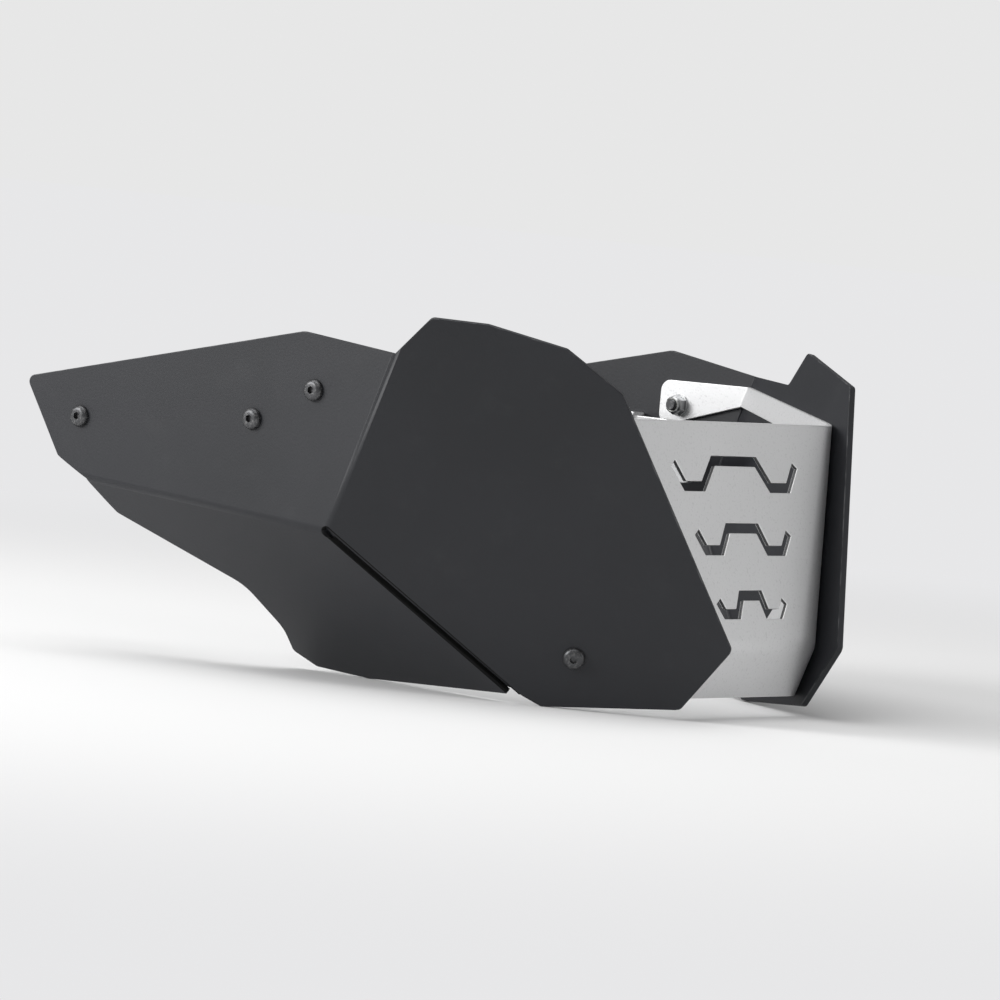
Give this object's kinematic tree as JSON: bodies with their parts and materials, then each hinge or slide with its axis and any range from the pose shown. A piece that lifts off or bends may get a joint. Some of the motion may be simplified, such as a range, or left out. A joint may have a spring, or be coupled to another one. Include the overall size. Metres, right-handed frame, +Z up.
{
  "type": "motorcycle engine spoiler",
  "caption": "Folded sheet-metal engine spoiler: angular black side panels joined by a slotted satin front plate, carried on joggled straps that bolt to the engine.",
  "frame": {"origin": "middle of the length and width, at the level of the bottom edges of the fins and bellies", "axes": "+X forward in the direction of travel, +Y to the left, +Z up"},
  "size_m": [0.3206, 0.2854, 0.1622],
  "materials": {
    "panel_coat": "matt black powder coat on aluminium sheet",
    "plate_satin": "satin, fine blasted and clear anodised",
    "bracket_zinc": "zinc plated",
    "screw_black": "black oxide, worn bright at the rim",
    "washer_zinc": "zinc plated",
    "nut_zinc": "zinc plated"
  },
  "bodies": {
    "root": {"right_side_panel": "panel_coat", "left_side_panel": "panel_coat", "front_plate": "plate_satin", "right_rear_bracket": "bracket_zinc", "right_front_bracket": "bracket_zinc", "left_rear_bracket": "bracket_zinc", "left_front_bracket": "bracket_zinc", "bracket_screws": "screw_black", "plate_screws": "screw_black", "washers": "washer_zinc", "lock_nuts": "nut_zinc"}
  },
  "joints": []
}
